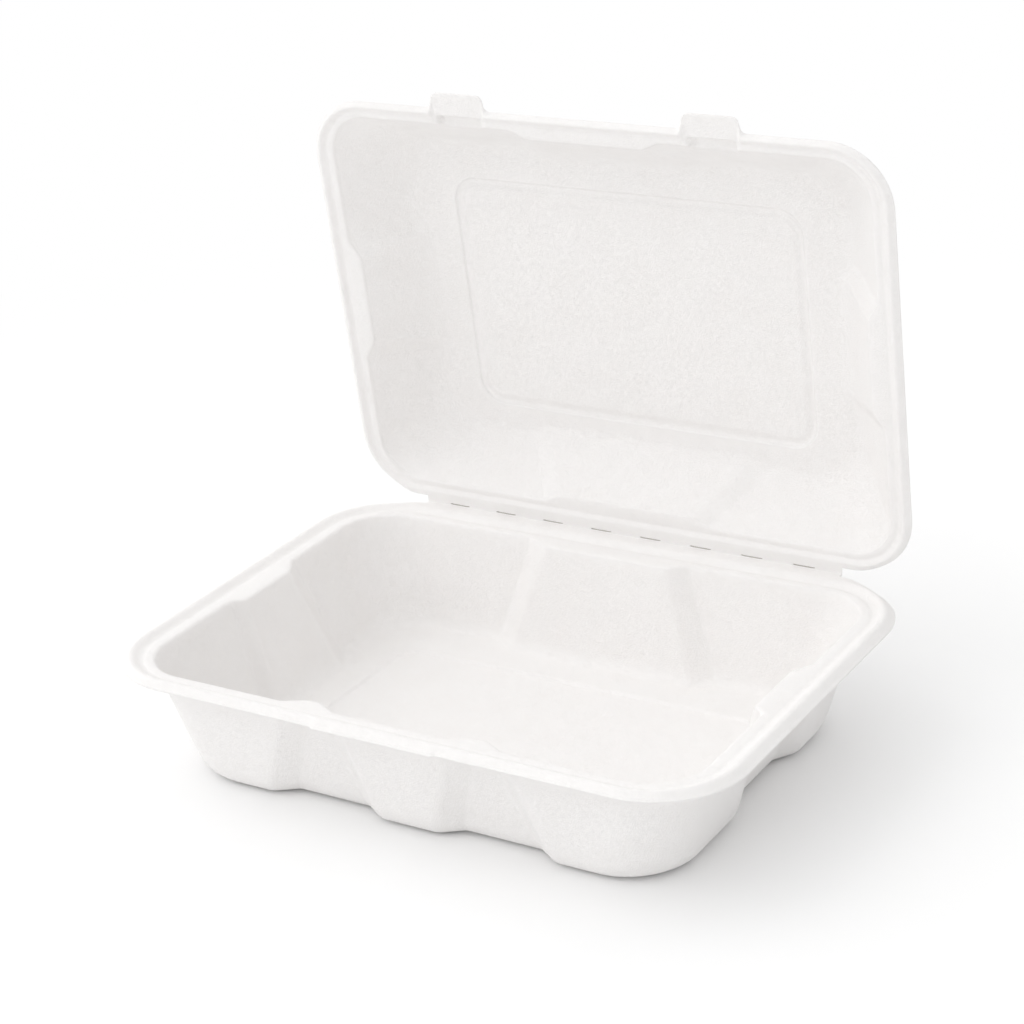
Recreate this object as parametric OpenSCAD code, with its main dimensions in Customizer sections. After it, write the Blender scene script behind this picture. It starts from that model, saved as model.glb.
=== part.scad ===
// One-piece moulded-fibre clamshell food container, standing open.
// A fluted tray and a shallower fluted lid share one pressed sheet: a perforated web
// joins their rims, and it is the hinge. Millimetres, +Z up, +Y towards the hinge.
// The origin is the centre of the tray's flat underside, on the table.

/* [Tray] */
// Length of the tray over its rim, along the hinge
tray_w = 230; // [200:1:280]
// Depth of the tray over its rim, front to hinge
tray_d = 161; // [140:1:200]
// Height of the tray from the table to the top of its rim
tray_h = 42.5; // [30:0.5:60]
// Corner radius of the tray's outer edge
tray_corner = 30; // [24:1:36]
// Corner radius at the foot of the tray's wall
tray_foot_corner = 22; // [18:1:32]
// Thickness of the tray's pressed wall
tray_wall = 0.9; // [0.6:0.05:1.2]
// How far the wall leans in between its rim and its foot
tray_draft = 5; // [3:0.5:9]
// How much farther the end walls lean in
tray_end_lean = 5; // [0:0.5:7]
// How much farther the hinge-side wall leans in
tray_back_lean = 1.5; // [0:0.5:4]
// Reach of the rounding between wall and floor
tray_fillet = 6.2; // [3:0.2:8]

/* [Tray rim] */
// Width of the tray's rim at the ends, from its outer edge to the wall
rim_w = 13.2; // [11:0.2:15]
// Share of that width which the rim has at the front and at the hinge
rim_share = 0.78; // [0.6:0.02:1]
// Height of the rim's bead above its outer edge
lip_drop = 2; // [1.4:0.1:3]
// Depth of the channel between the bead and the wall's edge
channel_depth = 1.7; // [1:0.1:2.4]
// How far the front edge stands out between the two latches
latch_land = 1.1; // [0.5:0.1:2]

/* [Tray panels] */
// How far the pressed-in panels stand in from the wall under the rim
flute_depth = 4.4; // [2:0.2:6]
// The same at the foot of the wall
flute_depth_foot = 5.2; // [2:0.2:7]
// Width of the slanted facet beside each panel
facet_w = 7.8; // [4:0.2:9]
// Half width of the front's middle panel, under the rim
front_mid = 21; // [16:0.5:26]
// Half width of the front's middle panel, at its foot
front_mid_foot = 10; // [7:0.5:14]
// Distance from the middle to the far side of each front recess, under the rim
front_recess = 33.5; // [30:0.5:44]
// The same at its foot
front_recess_foot = 47; // [40:0.5:54]
// Half width of the pressed-in panel at the hinge side, under the rim
back_panel = 24.5; // [18:0.5:36]
// The same at its foot
back_panel_foot = 36.5; // [24:0.5:46]
// Distance from the middle to the front edge of each end's panel, under the rim
end_front = 13.2; // [8:0.2:20]
// The same at its foot
end_front_foot = 14.6; // [8:0.2:20]
// Width of the facet at that edge
end_front_facet = 3; // [2:0.2:8]
// Distance from the middle to the hinge-side edge of each end's panel, under the rim
end_back = 12.8; // [8:0.2:20]
// The same at its foot
end_back_foot = 21.4; // [12:0.2:26]

/* [Tray floor] */
// Distance from the tray's ends to the floor's sunken field
field_end_margin = 42.5; // [40:0.5:50]
// Distance from its front and hinge side to that field
field_margin = 37; // [34:0.5:44]
// Corner radius of the sunken field
field_corner = 9; // [5:0.5:14]
// How far the field lies below the floor's border
field_step = 0.8; // [0.4:0.1:1.4]
// Width of the sloping edge around the sunken field
field_slope = 1.2; // [0.8:0.1:2.4]

/* [Lid] */
// How far the lid's edge lies inside the tray's edge, at the ends
lid_inset = 4.5; // [2:0.5:8]
// The same at the front
lid_front_inset = 7; // [3:0.5:10]
// Depth of the lid from its rim to its top
lid_h = 22.5; // [18:0.5:34]
// Corner radius of the lid's outer edge
lid_corner = 22; // [20:1:30]
// Corner radius at the foot of the lid's wall
lid_foot_corner = 20; // [14:1:26]
// Thickness of the lid's pressed wall
lid_wall = 0.75; // [0.5:0.05:1]
// How far the lid's wall leans in between its rim and its foot
lid_draft = 12.5; // [6:0.5:16]
// How much farther the lid's end walls lean in
lid_end_lean = 3.5; // [0:0.5:6]
// How much farther the lid's hinge-side wall leans in
lid_back_lean = 1; // [0:0.5:2]
// Reach of the rounding between the lid's wall and its top
lid_fillet = 7.8; // [3:0.2:8]
// Width of the lid's rim at the ends
lid_rim_w = 8.4; // [7:0.2:10]
// Share of that width which the rim has at the front and at the hinge
lid_rim_share = 0.74; // [0.7:0.02:1]
// Height of the bead of the lid's rim over its outer edge
lid_lip_drop = 1.4; // [1:0.1:2]
// Depth of the channel between the bead and the edge of the lid's wall
lid_channel_depth = 1.3; // [0.8:0.1:2]
// How far the lid's pressed-in panels stand in at the ends
lid_flute = 4; // [2:0.2:5]
// Share of that depth which the front and hinge-side panels have
lid_flute_share = 0.7; // [0.4:0.05:1]
// Width of the slanted facet beside each of them
lid_facet_w = 6.4; // [4:0.2:6.8]
// Half width of the lid's front panel, at the rim
lid_front_panel = 22; // [16:0.5:26]
// The same at its foot
lid_front_panel_foot = 29; // [18:0.5:34]
// Half width of the lid's hinge-side panel, at the rim
lid_back_panel = 27; // [20:0.5:36]
// The same at its foot
lid_back_panel_foot = 41; // [28:0.5:50]
// Half width of the lid's end panels, at the rim
lid_end_panel = 16.5; // [12:0.5:22]
// The same at its foot
lid_end_panel_foot = 21; // [14:0.5:26]

/* [Lid bead] */
// Distance from the lid's ends to the bead that stiffens its top
bead_end_margin = 42; // [38:0.5:50]
// Distance from the lid's front and hinge side to that bead
bead_margin = 32; // [32:0.5:42]
// Corner radius of the bead
bead_corner = 10; // [6:0.5:14]
// How far the bead lies nearer to the hinge than the lid's middle
bead_shift = 1.2; // [0:0.1:2]
// How far the bead stands out of the lid's top
bead_h = 0.9; // [0.5:0.1:1.4]
// Width of the bead
bead_wide = 4.6; // [3.4:0.2:7]

/* [Latches] */
// Distance of each latch tab from the middle of the front edge
tab_x = 48; // [44:0.5:60]
// Width of a latch tab at its end
tab_w = 19.5; // [14:0.5:24]
// How far a latch tab stands out of the lid's edge
tab_reach = 6.2; // [4:0.2:9]
// Width of the flare on each side of a tab
tab_flare = 2; // [1:0.2:3]
// Depth at which the tab leaves the rim, below the bead
tab_sink = 1.4; // [0.8:0.1:2.2]

/* [Hinge web] */
// Length of the web along the crease
web_w = 168; // [140:1:172]
// Distance from the tray's rim to the crease
web_reach = 1.6; // [1.2:0.2:4]
// Distance from the crease to the lid's rim
lid_web_reach = 2.2; // [1.2:0.2:4]
// Thickness of the web
web_t = 0.65; // [0.4:0.05:0.7]
// How many slits perforate the crease
slit_count = 8; // [4:1:10]
// Distance between slits
slit_pitch = 20; // [14:0.5:21]
// Length of one slit
slit_l = 8.6; // [5:0.2:12]
// Width of one slit, half of it in each web
slit_w = 0.9; // [0.7:0.1:1.2]
// Gap between the two rims when the lid is shut
shut_gap = 0.3; // [0.2:0.05:0.6]
// Angle of the open lid, counted from shut
lid_open = 84; // [70:1:120]

/* [Hidden] */
pulp = [0.93, 0.92, 0.9];
CORNER_STEPS = 8;
FILLET_STEPS = 3;
// Angle in a corner over which a flattened lip fades out
FADE = 34;
// Offset that keeps the floor's rings apart from the wall's when a section is thickened
FIELD_APART = 1000;
// Least distance between a side's last column and its corner, at the foot
COLUMN_GAP = 0.6;
// Clearance on each side of the crease
crease_gap = shut_gap / 2;
// How far the web reaches back inside the rim, and how deep it lies in the rim's skin
web_seat = 1.4;
web_set = (min(tray_wall, lid_wall) - web_t) / 2;

floor_z = tray_wall + field_step;
hinge_y = tray_d / 2 + web_reach;
hinge_z = tray_h + crease_gap;
lid_w = tray_w - 2 * lid_inset;
lid_d = tray_d - lid_front_inset;
lid_mid = lid_web_reach + lid_d / 2;

// Straight mix of two values
function mix(a, b, t) = a + (b - a) * t;

// The rim's section from its lip inwards, as [inset, height over the bead's crest]
function rim_section(w, drop, dip) = [
    [0, -drop],
    [0.08 * w, -0.88 * drop],
    [0.16 * w, -0.45 * drop],
    [0.23 * w, -0.1 * drop],
    [0.3 * w, 0],
    [0.39 * w, -0.2 * dip],
    [0.5 * w, -0.75 * dip],
    [0.61 * w, -dip],
    [0.72 * w, -0.8 * dip],
    [0.93 * w, -0.85 * dip],
    [w, -1.7 * dip],
];
RIM_RINGS = len(rim_section(1, 1, 1));
// Rings from the outer edge to the crest of the bead
LIP_RINGS = 5;

// Rounded foot between wall and floor: a quadratic curve about the sharp corner
function foot_section(top, foot, reach) =
    let (run = foot - top, a = foot - run * reach / norm(run), c = foot + [reach, 0])
    [for (i = [0:FILLET_STEPS])
        let (t = i / FILLET_STEPS)
        a * (1 - t) * (1 - t) + foot * 2 * t * (1 - t) + c * t * t];

// Mitred offset of a section to its underside by the wall's thickness
function under(section, wall) = [
    for (i = [0:len(section) - 1])
        let (
            last = len(section) - 1,
            p = section[i],
            d1 = i > 0 ? p - section[i - 1] : section[1] - p,
            d2 = i < last ? section[i + 1] - p : d1,
            n1 = [d1[1], -d1[0]] / norm(d1),
            n2 = [d2[1], -d2[0]] / norm(d2)
        )
        p + (n1 + n2) * wall / (1 + n1 * n2)
];

// A column of the shell: where it stands along its side at the rim and at the foot,
// its share of the panel's depth, the lip's reach, and the height, ring count and
// amount by which its rim is flattened
function column(rim_u, foot_u, flute = 0, reach = 0, flat_z = 0, flat_rings = 0, flat = 0) =
    [rim_u, foot_u, flute, reach, flat_z, flat_rings, flat];

// The four columns of a pressed-in panel between two edges, each given as its distance
// from the middle under the rim, the same at its foot, and the width of its facet
function panel_between(near, far, share = 1, flat_z = 0, flat_rings = 0, flat = 0) = [
    for (e = [[-1, near, 0], [-1, near, 1], [1, far, 1], [1, far, 0]])
        let (side = e[0], edge = e[1], out = edge[2] * (1 - e[2]))
        column(side * (edge[0] + out), side * (edge[1] + out), share * e[2], 0,
               flat_z, flat_rings, flat)
];

// The same for a panel that is even about the middle of its side
function panel(rim_half, foot_half, facet, share = 1, flat_z = 0, flat_rings = 0, flat = 0) =
    let (edge = [rim_half, foot_half, facet])
    panel_between(edge, edge, share, flat_z, flat_rings, flat);

// The four columns of one latch tab
function tab_columns(mid) = [
    for (c = [[-1, 0], [-1, 1], [1, 1], [1, 0]])
        let (u = mid + c[0] * (tab_w / 2 + tab_flare * (1 - c[1])))
        column(u, u, 0, tab_reach * c[1], -tab_sink, RIM_RINGS - 1, c[1])
];

// One point of the shell in a side's own directions: along the side and out of it
// fall = 0 at the rim and 1 at the foot; plain = the upper skin's point; skin = thickness below it
function side_point(c, out, inset, z, fall, depth, index, plain, skin, crest) =
    let (
        held = index < c[5] ? c[6] : 0,
        flat = [plain[0], c[4] - skin],
        o = mix(inset, flat[0], held),
        height = mix(z, flat[1], held),
        reach = index < LIP_RINGS ? c[3] * (1 - plain[0] / crest) : 0
    )
    [mix(c[0], c[1], fall), out - o - depth * c[2] + reach, height];

// A whole shell between its upper section and its underside.
// sides = [columns, share of the rim's width, extra lean] of the +X, +Y, -X and -Y sides;
// hinge = number of the side with the web; field = [width, depth, corner radius, inset, height]
// of each ring on the floor, whose middle lies at [0, shift]
function shell_points(w, d, corner, foot_corner, wall, section, field, shift, flute, foot_flute,
                      sides, hinge) =
    let (
        full = concat(section, [for (f = field) [FIELD_APART + f[3], f[4]]]),
        lower = under(full, wall),
        n = len(section),
        count = len(full),
        rim = section[RIM_RINGS - 1][0],
        crest = section[LIP_RINGS][0],
        crest_z = section[LIP_RINGS - 1][1],
        top_z = section[RIM_RINGS - 1][1],
        foot_z = section[n - 1][1]
    )
    concat([for (face = [0, 1]) for (i = [0:count - 1])
        let (
            on_field = i >= n,
            plain = on_field ? [field[i - n][3], full[i][1]] : section[i],
            p = face == 0 ? full[i] : lower[i],
            inset = on_field ? p[0] - FIELD_APART : p[0],
            hw = (on_field ? field[i - n][0] : w) / 2,
            hd = (on_field ? field[i - n][1] : d) / 2,
            fall = max(0, min(1, (top_z - plain[1]) / (top_z - foot_z))),
            slack = on_field ? [0, 0, 0, 0]
                : [for (s = sides) (1 - s[1]) * min(plain[0], rim) - s[2] * fall],
            spare = (sides[0][1] - sides[1][1]) * min(plain[0], rim) / 2,
            r = on_field ? field[i - n][2] : i < RIM_RINGS ? corner - plain[0] + spare
                : mix(corner - rim + spare, foot_corner, fall),
            middle = on_field ? [0, shift, 0] : [0, 0, 0],
            depth = on_field || i < RIM_RINGS - 2 ? 0 : mix(flute, foot_flute, fall),
            skin = face * wall
        )
        for (s = [0:3])
            let (
                turn = s * 90,
                along = s % 2 == 0 ? hd : hw,
                out = s % 2 == 0 ? hw : hd,
                next = (s + 1) % 4
            )
            each concat(
                [for (c = sides[s][0])
                    let (q = side_point(c, out + slack[s], inset, p[1], fall, depth, i, plain, skin, crest))
                    middle + [q[1] * cos(turn) - q[0] * sin(turn),
                              q[1] * sin(turn) + q[0] * cos(turn), q[2]]],
                [for (k = [0:CORNER_STEPS])
                    let (
                        a = 90 * k / CORNER_STEPS,
                        near = s == hinge ? 1 - a / FADE : next == hinge ? 1 - (90 - a) / FADE : 0,
                        held = i < LIP_RINGS ? max(0, near) : 0,
                        o = mix(inset, plain[0], held),
                        z = mix(p[1], crest_z - skin, held),
                        cx = out + slack[s] - plain[0] - r,
                        cy = along + slack[next] - plain[0] - r,
                        rr = r + plain[0] - o,
                        x = cx + rr * cos(a),
                        y = cy + rr * sin(a)
                    )
                    middle + [x * cos(turn) - y * sin(turn), x * sin(turn) + y * cos(turn), z]]
            )
    ],
    [for (skin = [0, wall]) [0, shift, full[count - 1][1] - skin]]);

// Triangles between the rings of a shell, along its lip and over its two flat fields
function shell_faces(rings, m) =
    let (under_0 = rings * m)
    concat(
        [for (i = [0:rings - 2]) for (j = [0:m - 1])
            let (a = i * m + j, b = i * m + (j + 1) % m)
            each [[a, a + m, b + m], [a, b + m, b]]],
        [for (i = [0:rings - 2]) for (j = [0:m - 1])
            let (a = under_0 + i * m + j, b = under_0 + i * m + (j + 1) % m)
            each [[a, b + m, a + m], [a, b, b + m]]],
        [for (j = [0:m - 1])
            let (a = j, b = (j + 1) % m)
            each [[a, b, b + under_0], [a, b + under_0, a + under_0]]],
        [for (j = [0:m - 1])
            let (a = under_0 - m + j, b = under_0 - m + (j + 1) % m)
            each [[a, 2 * under_0, b], [a + under_0, b + under_0, 2 * under_0 + 1]]]
    );

// A side with the feet of its columns drawn in to the straight part of the field's edge
function fitted(side, half) =
    let (
        far = max([for (c = side[0]) abs(c[1])]),
        k = min(1, (half - COLUMN_GAP) / far)
    )
    [[for (c = side[0]) [c[0], c[1] * k, for (i = [2:len(c) - 1]) c[i]]], side[1], side[2]];

module shell(w, d, corner, foot_corner, wall, section, field, shift, flute, foot_flute, sides, hinge) {
    straight = [for (i = [1, 0]) field[0][i] / 2 - field[0][2]];
    drawn = [for (i = [0:3]) fitted(sides[i], straight[i % 2])];
    m = len([for (s = sides) each s[0]]) + 4 * (CORNER_STEPS + 1);
    polyhedron(
        points = shell_points(w, d, corner, foot_corner, wall, section, field, shift, flute,
                              foot_flute, drawn, hinge),
        faces = shell_faces(len(section) + len(field), m),
        convexity = 12
    );
}

// Half of the perforated web, from inside the rim at y = 0 out to the crease
module web(reach) {
    run = reach - crease_gap;
    first = -(slit_count - 1) / 2 * slit_pitch;
    linear_extrude(web_t)
        difference() {
            translate([-web_w / 2 - run, -web_seat])
                square([web_w + 2 * run, web_seat + run]);
            for (side = [-1, 1])
                translate([side * (web_w / 2 + run), run])
                    circle(run, $fn = 48);
            for (i = [0:slit_count - 1])
                translate([first + i * slit_pitch - slit_l / 2, run + crease_gap - slit_w / 2])
                    square([slit_l, slit_w]);
        }
}

module tray() {
    rim = [for (p = rim_section(rim_w, lip_drop, channel_depth)) p + [0, tray_h]];
    section = concat(rim, foot_section(rim[RIM_RINGS - 1], [rim_w + tray_draft, floor_z], tray_fillet));
    front = concat(
        [column(-front_recess - facet_w, -front_recess_foot - facet_w),
         column(-front_recess, -front_recess_foot, 1),
         column(-front_mid - facet_w, -front_mid_foot - facet_w, 1),
         column(-front_mid, -front_mid_foot, 0, latch_land)],
        [column(front_mid, front_mid_foot, 0, latch_land),
         column(front_mid + facet_w, front_mid_foot + facet_w, 1),
         column(front_recess, front_recess_foot, 1),
         column(front_recess + facet_w, front_recess_foot + facet_w)]
    );
    field_w = tray_w - 2 * field_end_margin;
    field_d = tray_d - 2 * field_margin;
    front_edge = [end_front, end_front_foot, end_front_facet];
    back_edge = [end_back, end_back_foot, facet_w];
    right = panel_between(front_edge, back_edge);
    left = panel_between(back_edge, front_edge);
    hinge_side = panel(back_panel, back_panel_foot, facet_w, 1, tray_h, LIP_RINGS, 1);
    color(pulp)
        union() {
            shell(tray_w, tray_d, tray_corner, tray_foot_corner, tray_wall, section,
                  [[field_w, field_d, field_corner, 0, floor_z],
                   [field_w, field_d, field_corner - field_slope, field_slope, tray_wall]],
                  0, flute_depth, flute_depth_foot,
                  [[right, 1, tray_end_lean], [hinge_side, rim_share, tray_back_lean],
                   [left, 1, tray_end_lean], [front, rim_share, 0]], 1);
            translate([0, tray_d / 2, tray_h - web_set - web_t])
                web(web_reach);
        }
}

module lid() {
    rim = rim_section(lid_rim_w, lid_lip_drop, lid_channel_depth);
    top_z = lid_wall - lid_h;
    section = concat(rim, foot_section(rim[RIM_RINGS - 1], [lid_rim_w + lid_draft, top_z], lid_fillet));
    front = concat(
        tab_columns(-tab_x),
        panel(lid_front_panel, lid_front_panel_foot, lid_facet_w, lid_flute_share),
        tab_columns(tab_x)
    );
    ends = panel(lid_end_panel, lid_end_panel_foot, lid_facet_w);
    hinge_side = panel(lid_back_panel, lid_back_panel_foot, lid_facet_w, lid_flute_share,
                       0, LIP_RINGS, 1);
    groove = [for (g = [[0, 0], [0.22, 1], [0.5, 1], [1, 0]])
        [lid_w - 2 * bead_end_margin, lid_d - 2 * bead_margin, bead_corner - g[0] * bead_wide,
         g[0] * bead_wide, top_z - g[1] * bead_h]];
    color(pulp)
        translate([0, hinge_y, hinge_z])
            rotate([180 - lid_open, 0, 0])
                union() {
                    translate([0, lid_mid, -crease_gap])
                        shell(lid_w, lid_d, lid_corner, lid_foot_corner, lid_wall, section, groove,
                              -bead_shift, lid_flute, lid_flute,
                              [[ends, 1, lid_end_lean], [front, lid_rim_share, 0],
                               [ends, 1, lid_end_lean],
                               [hinge_side, lid_rim_share, lid_back_lean]], 3);
                    translate([0, lid_web_reach, -crease_gap - web_set])
                        rotate([180, 0, 0])
                            web(lid_web_reach);
                }
}

tray();
lid();
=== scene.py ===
"""Looks of the moulded-fibre clamshell: its pressed shells, its fold and the studio.

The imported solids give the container's sizes and places. This script lofts the same
tray, lid and perforated fold with the soft radii of pressed pulp, gives them a fibre
finish, and sets the floor, the light and the view. Sizes in the classes are
millimetres, as in the part's source, and meshes are made in metres.
"""

import logging
import math
from dataclasses import dataclass, field
from enum import Enum

import bmesh
import bpy
import numpy as np
from mathutils import Matrix, Vector


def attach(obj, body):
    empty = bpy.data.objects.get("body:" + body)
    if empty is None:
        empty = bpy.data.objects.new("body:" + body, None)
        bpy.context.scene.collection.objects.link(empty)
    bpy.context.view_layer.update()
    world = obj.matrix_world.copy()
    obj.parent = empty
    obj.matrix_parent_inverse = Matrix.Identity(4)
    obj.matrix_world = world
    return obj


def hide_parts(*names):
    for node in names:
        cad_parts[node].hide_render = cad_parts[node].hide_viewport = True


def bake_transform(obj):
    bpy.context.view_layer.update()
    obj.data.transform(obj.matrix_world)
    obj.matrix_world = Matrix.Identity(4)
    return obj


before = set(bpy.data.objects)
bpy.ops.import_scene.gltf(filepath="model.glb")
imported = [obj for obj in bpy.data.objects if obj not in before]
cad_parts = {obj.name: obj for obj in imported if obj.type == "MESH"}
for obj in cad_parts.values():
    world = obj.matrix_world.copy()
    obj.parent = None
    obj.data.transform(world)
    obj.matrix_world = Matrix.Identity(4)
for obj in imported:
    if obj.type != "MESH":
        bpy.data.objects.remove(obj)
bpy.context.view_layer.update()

LOG = logging.getLogger("clamshell")
MM = 0.001
# Clearance between the outermost crease at the foot and the field's corner
COLUMN_GAP = 0.6
# Depth of the wall's top below the bead's crest, in depths of the channel
WALL_TOP = 1.7
# Where a tab's plate ends and where the pocket behind it begins, as places across the rim
PLATE_END = (0.86, 1.02)
POCKET_START = (0.4, 0.6)
# Distances inside a tab's edge at which its plate and the pocket's end walls fade
PLATE_FADE = 0.4
POCKET_WALL = (2.4, 0.6)
# Sizes of the innermost rings of a floor, as shares of its field
CORE_SHARES = (0.9, 0.75, 0.58, 0.4, 0.22, 0.08)


class Body(Enum):
    """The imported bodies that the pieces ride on."""

    TRAY = "tray"
    LID = "lid"


class Turn(Enum):
    """The four sides of a shell, counter-clockwise, as quarter turns from +X."""

    RIGHT = 0
    AWAY = 1
    LEFT = 2
    NEAR = 3


# Shapes of the pressed sheet


@dataclass(frozen=True)
class Knot:
    """A crease line that runs down a wall.

    Attributes:
        rim: Distance from the middle of the side, under the rim.
        foot: The same at the foot of the wall.
        share: Share of the panel's depth that the wall has at this line.
    """

    rim: float
    foot: float
    share: float = 0.0


@dataclass(frozen=True)
class Tongue:
    """A part of the lip that stands out of the rim's outline, such as a latch tab.

    Attributes:
        middle: Place of its middle along the side.
        half: Half of its width at its end.
        flare: How much wider it is at its root, on each side.
        reach: How far it stands out.
        corner: Reach of the rounding at its corners.
        root: Reach of the rounding at its root.
        sink: Depth of its plate below the crest of the bead, or none.
        pocket: Depth of the pressed pocket behind the plate, or none.
    """

    middle: float
    half: float
    flare: float
    reach: float
    corner: float
    root: float
    sink: float = 0.0
    pocket: float = 0.0

    def outline(self) -> np.ndarray:
        """Points along the tongue's edge.

        Returns:
            Rows of place along the side and reach, in the order of the side.
        """
        wide = self.half + self.flare
        bends = [(-wide - 3 * self.root, 0, 0), (-wide, 0, self.root),
                 (-self.half, self.reach, self.corner), (self.half, self.reach, self.corner),
                 (wide, 0, self.root), (wide + 3 * self.root, 0, 0)]
        path = rounded_path(np.array([b[:2] for b in bends]), [b[2] for b in bends], 7, 1.6)
        path[:, 0] += self.middle
        return path


@dataclass(frozen=True)
class Side:
    """One straight side of a shell.

    Attributes:
        knots: Its crease lines, in order.
        rim_share: Share of the rim's full width.
        lean: How much farther its wall leans in at the foot.
        tongues: What stands out of its lip.
    """

    knots: tuple[Knot, ...]
    rim_share: float = 1.0
    lean: float = 0.0
    tongues: tuple[Tongue, ...] = ()

    def fitted(self, straight: float) -> "Side":
        """The side with its feet drawn in to the straight part of the field's edge.

        Args:
            straight: Half the length of that straight part.

        Returns:
            The side itself, or one whose feet are drawn in evenly.
        """
        far = max(abs(k.foot) for k in self.knots)
        draw = min(1.0, straight / far)
        knots = tuple(Knot(k.rim, k.foot * draw, k.share) for k in self.knots)
        return Side(knots, self.rim_share, self.lean, self.tongues)


@dataclass(frozen=True)
class Rim:
    """The rolled rim of a shell.

    Attributes:
        width: Distance from the outer edge to the wall.
        drop: Height of the bead over the outer edge.
        dip: Depth of the channel behind the bead.
        CREST: Place of the bead's crest across the rim.
    """

    width: float
    drop: float
    dip: float
    CREST = 0.3

    def bends(self) -> list[tuple[float, float, float, float]]:
        """The rim's section from the lip inwards.

        Returns:
            Rows of inset, height, share of the panels' depth, and rounding.
        """
        w, a, b = self.width, self.drop, self.dip
        shape = [(0.0, -a), (0.08, -0.88 * a), (0.16, -0.45 * a), (0.23, -0.1 * a),
                 (self.CREST, 0.0), (0.39, -0.2 * b), (0.5, -0.75 * b), (0.61, -b),
                 (0.72, -0.8 * b), (0.93, -0.85 * b), (1.0, -WALL_TOP * b)]
        soft = [0, 9, 9, 9, 9, 9, 9, 9, 1.1, 1.2, 1.2]
        return [(u * w, z, 1.0 if u > 0.9 else 0.0, r) for (u, z), r in zip(shape, soft)]


@dataclass(frozen=True)
class Loop:
    """One closed line around a shell.

    Attributes:
        half: Half of its outline's width and depth.
        inset: Inset from that outline.
        height: Height of the line.
        corner: Corner radius.
        fall: 0 at the wall's top and 1 at its foot.
        depth: Depth of the panels at this height.
        slack: How far each side is set out, by quarter turns.
        on_wall: Whether the line belongs to the rim or the wall, and not to the field.
    """

    half: tuple[float, float]
    inset: float
    height: float
    corner: float
    fall: float
    depth: float = 0.0
    slack: tuple[float, ...] = (0.0, 0.0, 0.0, 0.0)
    on_wall: bool = False


def rounded_path(points: np.ndarray, reach: list[float], steps: int, gap: float) -> np.ndarray:
    """Rounds the corners of a path and divides its long runs.

    Args:
        points: Rows of coordinates; the first two are the ones that are measured.
        reach: Distance from each corner at which its rounding begins.
        steps: Number of parts in each rounding.
        gap: Longest run that stays undivided.

    Returns:
        Rows of coordinates along the rounded path.
    """
    made = [points[0]]

    def run_to(end: np.ndarray) -> None:
        """Adds a straight run in parts no longer than the gap."""
        start = made[-1]
        parts = max(1, math.ceil(np.linalg.norm((end - start)[:2]) / gap))
        if np.linalg.norm(end - start) > 1e-6:
            made.extend(start + (end - start) * k / parts for k in range(1, parts + 1))

    for before, here, after, r in zip(points, points[1:], points[2:], reach[1:]):
        near, far = np.linalg.norm((before - here)[:2]), np.linalg.norm((after - here)[:2])
        enter = here + (before - here) * min(r / near, 0.5)
        leave = here + (after - here) * min(r / far, 0.5)
        run_to(enter)
        for k in range(1, steps + 1):
            t = k / steps
            made.append(enter * (1 - t) ** 2 + here * 2 * t * (1 - t) + leave * t * t)
    run_to(points[-1])
    return np.array(made)


def soft_ramp(x: np.ndarray, r: float) -> np.ndarray:
    """A ramp that rises from 0 with its foot rounded over r on both sides.

    Args:
        x: Distance from the ramp's foot.
        r: Half width of the rounding.

    Returns:
        The height of the ramp.
    """
    return np.where(x < -r, 0.0, np.where(x > r, x, (x + r) ** 2 / (4 * r)))


def smooth(x: np.ndarray, low: float, high: float) -> np.ndarray:
    """A smooth step.

    Args:
        x: Where it is read.
        low: Where it leaves 0.
        high: Where it reaches 1.

    Returns:
        Values from 0 to 1.
    """
    t = np.clip((x - low) / (high - low), 0.0, 1.0)
    return t * t * (3 - 2 * t)


def panel_knots(near: tuple[float, ...], far: tuple[float, ...], share: float = 1.0) -> tuple[Knot, ...]:
    """The four creases of a pressed-in panel.

    Args:
        near: Distance of its first edge under the rim, at the foot, and its facet's width.
        far: The same for its last edge.
        share: Share of the panels' depth.

    Returns:
        The knots in order along the side.
    """
    return (Knot(-near[0] - near[2], -near[1] - near[2]), Knot(-near[0], -near[1], share),
            Knot(far[0], far[1], share), Knot(far[0] + far[2], far[1] + far[2]))


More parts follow.
